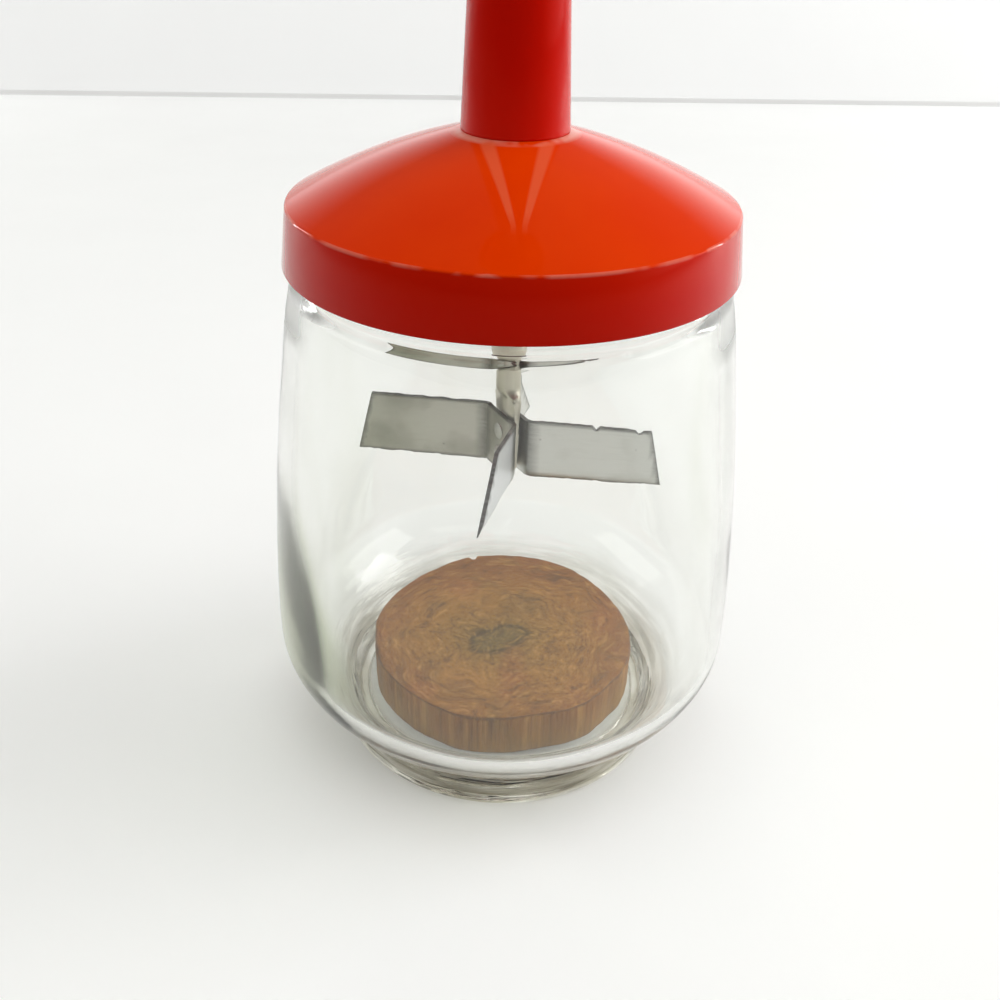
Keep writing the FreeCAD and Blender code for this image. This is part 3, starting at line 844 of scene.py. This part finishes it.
# %% The tower
tower_section = [(3.25, 121, 0.2), (7.0, 121, 0.4), (7.0, crown_high),
                 (9.9, crown_high, 0.3)]
tower_section += glide([(9.87, 132.2, 92.8), (8.6, 157.8, 92.8), (7.02, 189.4, 92.8)], 10)
tower_section += [(7.0, 190, 0.5), (5.4, 190, 0.3), (5.4, 123), (3.25, 123)]
tower = turned(tower_section, closed=True, steps=120)
for vert in tower.verts:
    flat = outward(vert)
    if vert.co.z > 133 * MM and flat.length > 6 * MM:
        vert.co += flat.normalized() * (unevenness(vert.co, 20, 0.05) - 0.02 * MM)
make_piece("tapered_tower", tower, "lid", "guide_tower", "red_plastic")

# %% [markdown]
# ## The palm knob
# The knob is a mushroom with a stem. The palm presses on a broad shallow dome, the fingers
# curl under its rounded edge, and the stem is hollow so that it can drop over the tower's
# top. Its curves run into each other without a corner, so they are drawn as smooth runs.

# %% The knob
knob_section = [(0, 246.3), (4.3, 246.3), (4.3, 236.3), (rod_bore, 236.3),
                (rod_bore, 235.8, 0.1), (8.0, 235.8, 0.6), (8.0, 225.3, 0.5),
                (10.2, 225.3, 0.8)]
knob_section += glide([(10.2, 232.3, 90), (17.0, 241.8, 0), (20.0, 244.8, 90),
                       (0, 255.8, 180)], 18)
make_piece("palm_knob", turned(knob_section), "plunger", "plunger_knob", "red_plastic")

# %% [markdown]
# ## The rod and its flattened end
# The rod is drawn steel, 5 mm thick. Its lower end was pressed flat between two dies, so
# the round runs out through short shoulders into a plate that the blades are riveted to.
# A circle is extruded down ring by ring, and each new ring is squeezed towards the plate's
# outline. A cylinder joined to a box would lack those shoulders.

# %% The rod
FLAT_TURN = math.radians(-59)
rod_radius, groove_radius = 2.5, 2.1
rod_rings = [(height, radius, radius, 2) for height, radius in (
    (245.3, groove_radius), (244.9, rod_radius), (182.7, rod_radius),
    (182.65, groove_radius), (181.75, groove_radius), (181.7, rod_radius),
    (120, rod_radius), (83.0, rod_radius), (81.4, rod_radius))]
rod_rings += [
    (80.6, 2.75, 2.25, 2.3), (80.05, 3.25, 1.6, 3.2), (79.6, 3.6, 1.28, 5),
    (78.9, 3.78, 1.2, 9), (72, 3.8, 1.2, 9), (64.6, 3.8, 1.2, 9), (64.0, 3.5, 1.2, 9),
    (63.45, 2.95, 1.15, 8), (63.25, 2.7, 1.0, 7),
]


def squeeze(ring, height, long, short, square):
    """Set a ring's height and press its round outline towards a plate's."""
    for vert in ring:
        way = math.atan2(vert.co.y, vert.co.x)
        c, s = math.cos(way), math.sin(way)
        size = (abs(c) ** square + abs(s) ** square) ** (-1 / square)
        vert.co = Vector((long * c * size, short * s * size, height)) * MM


rod = bmesh.new()
ring = bmesh.ops.create_circle(rod, cap_ends=True, radius=MM, segments=64)["verts"]
squeeze(ring, *rod_rings[0])
edges = rod.edges[:]
for place in rod_rings[1:]:
    grown = bmesh.ops.extrude_edge_only(rod, edges=edges)["geom"]
    ring = verts_in(grown)
    edges = [item for item in grown if isinstance(item, bmesh.types.BMEdge)]
    edges = [edge for edge in edges if all(vert in ring for vert in edge.verts)]
    for vert in ring:
        vert.co = outward(vert).normalized() * MM
    squeeze(ring, *place)
bmesh.ops.holes_fill(rod, edges=edges, sides=0)
turn_all(rod, FLAT_TURN, "Z")
bmesh.ops.recalc_face_normals(rod, faces=rod.faces)
make_piece("steel_rod", rod, "plunger", "plunger_rod", "rod_steel")

# %% [markdown]
# ## The sleeve, the stop collar and the bush
# Three small turned pieces guide the rod: a thin steel sleeve under the lid, a dark collar
# on the rod that stops against it, and a nylon bush in the top of the tower. Each is a
# short closed section with its corners broken.

# %% Rod guides
sleeve = turned([(rod_bore, 87.8, 0.12), (3.2, 87.8, 0.2), (3.2, 123), (4.8, 123, 0.15),
                 (4.8, 123.8, 0.15), (rod_bore, 123.8, 0.12)], closed=True, steps=64)
make_piece("steel_sleeve", sleeve, "lid", "guide_sleeve", "rod_steel")
collar = plain_ring(rod_radius, 3.5, 85.75, 87.75, 0.1, 0.3, 64)
make_piece("stop_ring", collar, "plunger", "stop_collar", "dark_steel")
bush = turned([(rod_bore, 183, 0.2), (5.4, 183, 0.3), (5.4, 190), (6.6, 190, 0.1),
               (6.6, 191.5, 0.45), (rod_bore, 191.5, 0.3)], closed=True, steps=96)
make_piece("nylon_bush", bush, "lid", "upper_bush", "white_nylon")

# %% [markdown]
# ## The nut, its washer and the seal
# A round nut with six flats holds the tower to the lid, over a fibre washer, and a rubber
# ring keeps the jar's rim from knocking on the plastic. They are seen from below, through
# the glass. The nut starts as a spun ring, and six bisecting planes cut its flats.

# %% Nut, washer and seal
nut = plain_ring(nut_bore, 11.0, 121.5, 127.0, 0.3, 0.5, 120)
for side in range(6):
    way = math.tau * (side + 0.5) / 6
    out = Vector((math.cos(way), math.sin(way), 0))
    cut = bmesh.ops.bisect_plane(
        nut, geom=nut.verts[:] + nut.edges[:] + nut.faces[:], dist=1e-7,
        plane_co=out * 10.2 * MM, plane_no=out, clear_outer=True,
    )
    rim = [item for item in cut["geom_cut"] if isinstance(item, bmesh.types.BMEdge)]
    bmesh.ops.edgeloop_fill(nut, edges=rim)
bmesh.ops.recalc_face_normals(nut, faces=nut.faces)
make_piece("lid_nut", nut, "lid", "tower_nut", "dark_steel")
washer = plain_ring(nut_bore, 11.0, 127, 128.2, 0.1, 0.25, 96)
make_piece("fibre_ring", washer, "lid", "nut_washer", "fibre_washer")
seal = plain_ring(36.53, 39.73, 116.05, 117.4, 0.3, 0.3, 180)
make_piece("rubber_seal", seal, "lid", "lid_seal", "seal_rubber")

# %% [markdown]
# ## The return spring
# The spring is wound from round wire with its last turn closed flat at each end, so that
# it sits square on its washers. A spin whose steps also climb makes a coil: a small circle
# of wire is spun with a slow climb for the end turn, then with the open pitch, then slowly
# again. The engineering model squeezes the spring as the plunger goes down; this one is
# given a mesh of its own.

# %% The spring
wire, coil = 0.4, 4.7
spring_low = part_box("lower_spring_washer")[1].z
spring_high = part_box("upper_spring_washer")[0].z
climb = (spring_high - spring_low) / MM - 2 * wire - 0.1
turns, end_climb, per_turn = 10, 2 * wire + 0.04, 36
spring = bmesh.new()
bmesh.ops.create_circle(spring, cap_ends=True, radius=wire * MM, segments=12)
turn_all(spring, math.radians(90), "X")
bmesh.ops.translate(spring, verts=spring.verts,
                    vec=(coil * MM, 0, spring_low + (wire + 0.05) * MM))
end = spring.verts[:] + spring.edges[:] + spring.faces[:]
for count, gained in ((1, end_climb), (turns, climb - 2 * end_climb), (1, end_climb)):
    swept = bmesh.ops.spin(
        spring, geom=end, cent=(0, 0, 0), axis=(0, 0, 1), angle=math.tau * count,
        steps=per_turn * count, dvec=(0, 0, gained * MM / (per_turn * count)),
    )
    end = swept["geom_last"]
bmesh.ops.remove_doubles(spring, verts=spring.verts, dist=0.002 * MM)
bmesh.ops.recalc_face_normals(spring, faces=spring.faces)
coil_spring = make_piece("coil_spring", spring, "lid", "return_spring", "spring_steel")
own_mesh(coil_spring)

# %% [markdown]
# ## The blades
# Both blades are the same bent strip, made here as in steel: a flat blank with one
# slanted and one pointed end, its lower edge ground on one side, then two bends, each
# rolled in small steps. Soft noise along the blank nibbles its edges, as years of chopping
# do. A path swept with a section would need its ends cut after bending, which is harder.

# %% A flat blank
BLADE_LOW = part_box("left_blade")[0].z
BLADE_HIGH = 13.0
LEFT_END, RIGHT_END = -33.6, 28.4
SLANT, POINT = 3.1, 11.0
BEND = 5.4
STRIP_BACK, STRIP_THICK = -1.2, 0.8
STRIP_MIDDLE = STRIP_BACK - STRIP_THICK / 2


def cut_blank(bm, stations, heights):
    """Cut the strip across and along, so that it can bend and wear there."""
    cuts = [((station, 0, 0), (1, 0, 0)) for station in stations]
    cuts += [((0, 0, height), (0, 0, 1)) for height in heights]
    for place, way in cuts:
        bmesh.ops.bisect_plane(bm, geom=bm.verts[:] + bm.edges[:] + bm.faces[:], dist=1e-8,
                               plane_co=Vector(place) * MM, plane_no=way)


def flat_blank(shift, notches):
    """The strip before bending, along X, with its lower edge at height zero."""
    bm = bmesh.new()
    outline = [(LEFT_END, 0), (RIGHT_END, 0), (RIGHT_END - POINT, BLADE_HIGH),
               (LEFT_END + SLANT, BLADE_HIGH)]
    corners = [bm.verts.new((x * MM, STRIP_BACK * MM, z * MM)) for x, z in outline]
    plate = bm.faces.new(corners)
    grown = bmesh.ops.extrude_face_region(bm, geom=[plate])["geom"]
    bmesh.ops.translate(bm, verts=verts_in(grown), vec=(0, -STRIP_THICK * MM, 0))
    stations = [step + LEFT_END + 0.4 for step in range(62)]
    stations += [side * (BEND + step * 0.12) for side in (-1, 1) for step in range(-5, 6)]
    stations += [notch + step * 0.4 for notch in notches for step in (-2, -1, 0, 1, 2)]
    cut_blank(bm, stations, (0.4, 0.85, 2.0, 4.2, 6.5, 8.7, 11, 12.2, 12.6))
    bmesh.ops.recalc_face_normals(bm, faces=bm.faces)
    mark_edges_and_bends(bm)
    wear_blank(bm, shift, notches)
    return bm


def mark_edges_and_bends(bm):
    """Note, from 0 to 1, how near each vertex is to the outline, for wear, or to a bend, for
    painted shade.
    """
    darkened = bm.verts.layers.float.new("darkened")
    for vert in bm.verts:
        x, z = vert.co.x / MM, vert.co.z / MM
        slanted, pointed = LEFT_END + SLANT * z / BLADE_HIGH, RIGHT_END - POINT * z / BLADE_HIGH
        near_outline = 1.2 - min(x - slanted, pointed - x, BLADE_HIGH - z, z) / 0.7
        near_bend = 0.75 - abs(abs(x) - BEND - 0.4) / 3.2
        vert[darkened] = max(0.0, min(1.0, max(near_outline, near_bend)))


def wear_blank(bm, shift, notches):
    """Grind the lower edge, break the others and let the strip wander a little."""
    for vert in bm.verts:
        x, z = vert.co.x, vert.co.z / MM
        if vert.co.y > STRIP_MIDDLE * MM and z < 1.9:
            vert.co.y -= 0.55 * MM * (1 - z / 2.0)
        along = Vector((x, 0, shift))
        if z < 0.2:
            vert.co.z += abs(unevenness(along, 1.9, 0.5)) + abs(unevenness(along, 7, 0.4))
        if z > BLADE_HIGH - 0.2:
            vert.co.z -= abs(unevenness(along, 5, 0.45, 4)) + abs(unevenness(along, 1.6, 0.2))
        for notch in notches:
            if z > BLADE_HIGH - 0.7:
                vert.co.z -= max(0, 0.8 - abs(x / MM - notch)) * MM
        vert.co.y += unevenness(Vector((x, 0, vert.co.z)), 9, 0.14, shift)


print("the blank is", RIGHT_END - LEFT_END, "mm long and", BLADE_HIGH, "mm high")


# %% Bends
def roll_bend(bm, start, corner, side, angle, steps=6):
    """Turn all that lies beyond a corner, in small steps that leave a rounded bend."""
    width = 1.2 * math.radians(abs(angle)) * MM
    for step in range(steps):
        station = corner * MM + side * width * (0.5 - (step + 0.5) / steps)
        beyond = [vert for vert in bm.verts if side * (start[vert] - station) > 0]
        bmesh.ops.rotate(bm, verts=beyond, cent=(station, STRIP_MIDDLE * MM, 0),
                         matrix=Matrix.Rotation(math.radians(angle / steps), 3, "Z"))


def bent_blade(shift, half_turn, notches=()):
    bm = flat_blank(shift, notches)
    start = {vert: vert.co.x for vert in bm.verts}
    roll_bend(bm, start, -BEND, -1, 52.3)
    roll_bend(bm, start, BEND, 1, -46.6)
    turn_all(bm, FLAT_TURN + half_turn, "Z")
    bmesh.ops.translate(bm, verts=bm.verts, vec=(0, 0, BLADE_LOW))
    return bm


make_piece("bent_blade_left", bent_blade(0.0, 0), "plunger", "left_blade", "blade_steel",
           "stained_shaded_steel")
make_piece("bent_blade_right", bent_blade(0.7, math.pi, (-19.2, -28.0)), "plunger",
           "right_blade", "blade_steel")

# %% [markdown]
# ## The rivets
# Two rivets pass through both strips and the rod's flattened end. Their heads were formed
# by a hammer or a press, so they are low domes. A turned section is laid on its side and
# moved into each of the two holes.

# %% The rivets
rivet_radius, head_radius, grip = 1.1, 1.65, 2.0
rivets = bmesh.new()
head = glide([(head_radius, 2.08, 90), (1.2, 2.4, 150), (0, 2.5, 180)], 4)
rivet_line = [(r, -z) for r, z in head[::-1]]
rivet_line += [(head_radius, -grip), (rivet_radius, -grip), (rivet_radius, grip),
               (head_radius, grip)] + head
for height in (66.65, 71.65):
    one = turned(rivet_line, steps=32)
    turn_all(one, math.radians(90), "X")
    turn_all(one, FLAT_TURN, "Z")
    bmesh.ops.translate(one, verts=one.verts, vec=(0, 0, height * MM))
    spare = bpy.data.meshes.new("one_rivet")
    one.to_mesh(spare)
    one.free()
    rivets.from_mesh(spare)
    bpy.data.meshes.remove(spare)
make_piece("formed_rivets", rivets, "plunger", "blade_rivets", "blade_steel")

# %% [markdown]
# ## Pieces that keep their plain shape
# The two spring washers, the circlip and the knob's insert are small and hidden, and their
# plain shapes are right as they are. They only take their finish.

# %% Finishes for the kept pieces
for node, slot in (("lower_spring_washer", "rod_steel"), ("upper_spring_washer", "rod_steel"),
                   ("rod_circlip", "dark_steel"), ("knob_insert", "brass")):
    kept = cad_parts[node]
    kept.data.materials.clear()
    kept.data.materials.append(finishes[slot])
    print(node, "takes", slot)

# %% [markdown]
# ## The table and the backdrop
# The chopper stands on a white table in front of a pale wall, with a thin grey strip where
# they meet that is painted shadow for the crease. The paint isn't one dead colour: it has
# the faint mottling of painted board.
# These are stage pieces and no part of the object.

# %% Table and wall
def make_pale(name, colour, low, bounced, lift):
    """A paint that throws less light on the object than it shows, lifted where far away."""
    tree, shader, place = new_finish(name, Roughness=0.7, Specular_IOR_Level=0.1,
                                     Emission_Color=(1, 1, 1, 1))
    cloud = grain(place, 60, 3.0)
    paint = ramp(cloud, [(0.3, low), (0.7, colour)])
    rays = put(tree, "LightPath").outputs
    thrown = rays["Is Diffuse Ray"]
    feed(mixed(thrown, paint, bounced), shader, "Base Color")
    far = times(spread(distance(place), 0.0, 0.5, 0.95, 1.8), rays["Is Camera Ray"])
    feed(maths("ADD", spread(thrown, lift, 0.0), far), shader, "Emission Strength")


def make_stage(name, corners, material):
    bm = bmesh.new()
    bm.faces.new([bm.verts.new(Vector(corner)) for corner in corners])
    sheet = as_object(name, bm)
    sheet.data.materials.append(material)
    print(name, "is set")


def standing_sheet(start, end, height):
    up = Vector((0, 0, height))
    return [start, end, end + up, start + up]


wall_left, wall_right = Vector((-2.0, 0.56, 0)), Vector((2.0, 0.845, 0))
nearer = Vector((0, -0.002, 0))
make_pale("table_white", shade(246, 246, 245), shade(244, 244, 243), shade(150, 150, 150),
          0.07)
make_pale("wall_white", shade(250, 250, 249), shade(248, 248, 247), shade(236, 236, 236),
          0.35)
make_stage("table", [(-2, -1.6, 0), (2, -1.6, 0), (2, 0.85, 0), (-2, 0.55, 0)],
           finishes["table_white"])
make_stage("wall", standing_sheet(wall_left, wall_right, 0.2), finishes["wall_white"])
# A thin grey strip at the wall's foot: painted shadow in the crease between table and wall.
make_pale("crease_shadow_grey", shade(226, 225, 223), shade(214, 213, 211), shade(200, 200, 200), 0.3)
make_stage("crease_shadow_line", standing_sheet(wall_left + nearer, wall_right + nearer, 0.0035),
           finishes["crease_shadow_grey"])

# %% [markdown]
# ## Light
# A bright room lights the chopper from all round, strongest from behind, and the world
# gives that even part. Two large soft lamps, above and to the right, lay the shadows on
# the table and aren't mirrored. Two windows at the sides and two narrow slits behind them
# are mirrored instead, as the streaks that run down the plastic and the glass.

# %% World and lamps
def make_world():
    """A bright room: light from behind and the right, dim at the front and overhead."""
    world = bpy.data.worlds.new("room")
    world.use_nodes = True
    tree = world.node_tree
    way = put(tree, "TexCoord").outputs["Generated"]
    toward = put(tree, "VectorMath", {0: way, 1: (0.35, 0.8, 0)},
                 operation="DOT_PRODUCT").outputs["Value"]
    round_room = ramp(rise(toward, -0.85, 0.85), [
        (0.0, (0.22, 0.225, 0.205, 1)), (0.35, (0.32, 0.33, 0.32, 1)),
        (0.6, (1.0, 1.01, 1.03, 1)), (1.0, (1.5, 1.5, 1.5, 1))])
    height = part_of(way, "Z")
    dimmed = mixed(rise(height, 0.16, 0.5), round_room, (0.17, 0.175, 0.155, 1))
    seen = put(tree, "LightPath").outputs["Is Camera Ray"]
    feed(mixed(seen, dimmed, (0.87, 0.87, 0.86, 1)), tree.nodes["Background"], "Color")
    bpy.context.scene.world = world


def make_lamp(name, place, target, width, height, power, mirrored=True, through=True):
    data = bpy.data.lights.new(name, "AREA")
    data.shape = "RECTANGLE"
    data.size, data.size_y = width, height
    data.energy = power
    lamp = bpy.data.objects.new(name, data)
    lamp.visible_glossy = mirrored
    lamp.visible_transmission = through
    lamp.location = place
    toward = Vector(target) - Vector(place)
    lamp.rotation_euler = toward.to_track_quat("-Z", "Y").to_euler()
    bpy.context.scene.collection.objects.link(lamp)
    print(name, "shines with", power, "watts")


make_world()
make_lamp("overhead", (0.1, -0.05, 1.6), (0, 0, 0), 1.8, 1.6, 14.2, mirrored=False)
make_lamp("skylight", (1.15, 0.25, 1.15), (0, 0, 0), 0.8, 0.8, 6.7, mirrored=False)
make_lamp("left_window", (-0.95, -0.1, 0.45), (0, 0, 0.08), 0.8, 0.38, 1.0)
make_lamp("right_window", (0.95, -0.05, 0.5), (0, 0, 0.08), 0.75, 0.48, 1.8)
make_lamp("left_slit", (-0.79, 0.60, 0.35), (0, 0, 0.1), 0.07, 0.5, 1.3, through=False)
make_lamp("right_slit", (0.90, 0.44, 0.35), (0, 0, 0.1), 0.07, 0.5, 1.6, through=False)

# %% [markdown]
# ## The camera
# The camera looks down at the lid from about 32 degrees, close enough for strong
# perspective, and it is turned a degree and a half about its own axis. Its three
# directions are worked out first and become the columns of its matrix.

# %% The camera
pitch, roll, yaw = math.radians(31.91), math.radians(1.48), math.radians(-0.31)
ahead = Vector((math.sin(yaw) * math.cos(pitch), math.cos(yaw) * math.cos(pitch),
                -math.sin(pitch)))
level = Vector((math.cos(yaw), -math.sin(yaw), 0))
above = level.cross(ahead)
side = level * math.cos(roll) + above * math.sin(roll)
crown = above * math.cos(roll) - level * math.sin(roll)
turn = Matrix((side, crown, -ahead)).transposed().to_4x4()
lens = bpy.data.cameras.new("camera")
lens.sensor_width, lens.lens = 36.0, 37.677
lens.clip_start, lens.clip_end = 0.01, 20.0
camera = bpy.data.objects.new("camera", lens)
camera.matrix_world = Matrix.Translation(Vector((0, -193.05, 173.89)) * MM) @ turn
bpy.context.scene.collection.objects.link(camera)
bpy.context.scene.camera = camera
bpy.context.scene.view_settings.view_transform = "Standard"
print("the camera stands", round(camera.location.length, 3), "m from the origin")
